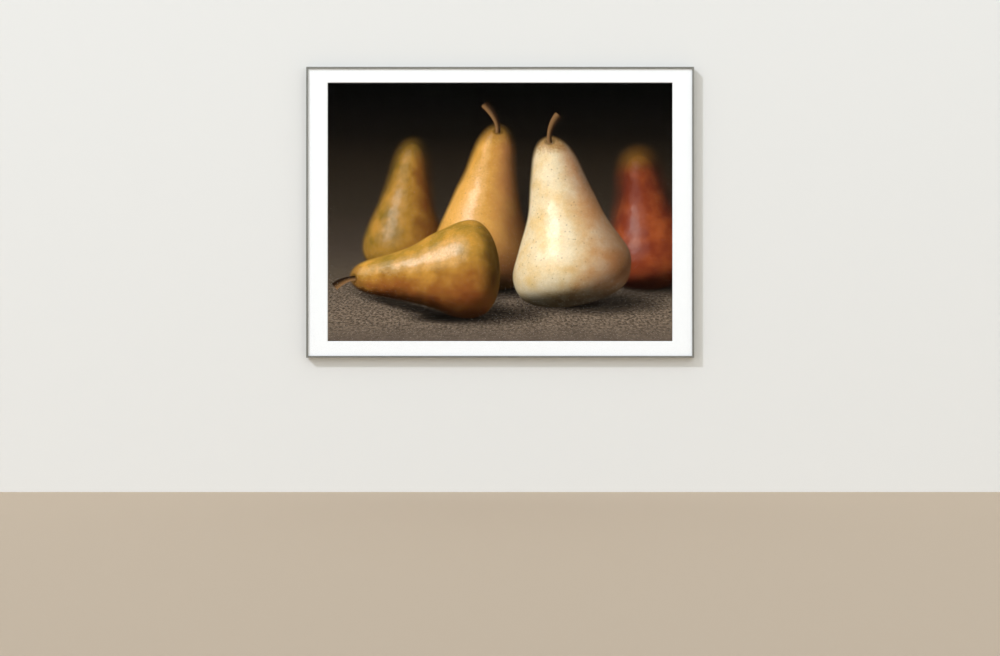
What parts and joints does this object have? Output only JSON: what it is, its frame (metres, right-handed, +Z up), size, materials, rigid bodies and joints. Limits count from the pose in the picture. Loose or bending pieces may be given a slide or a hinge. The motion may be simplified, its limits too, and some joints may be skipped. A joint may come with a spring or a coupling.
{
  "type": "framed photographic print",
  "caption": "Wide print behind a white mat and clear glazing, in a slim grey metal section frame that hangs flat on a wall.",
  "frame": {"origin": "on the wall plane, midway between the two nails that the hangers' teeth sit on", "axes": "+X along the width to the viewer's right, +Y from the viewer to the wall, +Z up"},
  "size_m": [1.016, 0.0235, 0.762],
  "materials": {
    "frame_metal": "satin anodised, warm mid grey, fine brushed grain along each rail",
    "glazing": "clear acrylic sheet, polished, low reflection",
    "mat_board": "bright white uncoated board with a fine fibre surface and a white core at the bevel",
    "print_paper": "lustre photographic paper, a warm dark picture with amber, ochre and cream",
    "mount_card": "off-white uncoated card",
    "backing_fibreboard": "thin brown hardboard, smooth side out",
    "spring_steel": "blued spring steel strip",
    "zinc_steel": "bright zinc plate",
    "pad_rubber": "matt black rubber"
  },
  "bodies": {
    "root": {"frame_top": "frame_metal", "frame_bottom": "frame_metal", "frame_left": "frame_metal", "frame_right": "frame_metal", "glazing": "glazing", "mat": "mat_board", "print": "print_paper", "mount_board": "mount_card", "backing_board": "backing_fibreboard", "spring_top_1": "spring_steel", "spring_top_2": "spring_steel", "spring_top_3": "spring_steel", "spring_bottom_1": "spring_steel", "spring_bottom_2": "spring_steel", "spring_bottom_3": "spring_steel", "spring_left_1": "spring_steel", "spring_left_2": "spring_steel", "spring_right_1": "spring_steel", "spring_right_2": "spring_steel", "angle_plate_top_left": "zinc_steel", "angle_plate_top_right": "zinc_steel", "angle_plate_bottom_right": "zinc_steel", "angle_plate_bottom_left": "zinc_steel", "corner_screw_top_left_1": "zinc_steel", "corner_screw_top_left_2": "zinc_steel", "corner_screw_top_right_1": "zinc_steel", "corner_screw_top_right_2": "zinc_steel", "corner_screw_bottom_right_1": "zinc_steel", "corner_screw_bottom_right_2": "zinc_steel", "corner_screw_bottom_left_1": "zinc_steel", "corner_screw_bottom_left_2": "zinc_steel", "hanger_left": "zinc_steel", "hanger_right": "zinc_steel", "slot_nut_left": "zinc_steel", "slot_nut_right": "zinc_steel", "hanger_screw_left_1": "zinc_steel", "hanger_screw_left_2": "zinc_steel", "hanger_screw_right_1": "zinc_steel", "hanger_screw_right_2": "zinc_steel", "wall_pad_top_left": "pad_rubber", "wall_pad_top_right": "pad_rubber", "wall_pad_bottom_right": "pad_rubber", "wall_pad_bottom_left": "pad_rubber"}
  },
  "joints": []
}
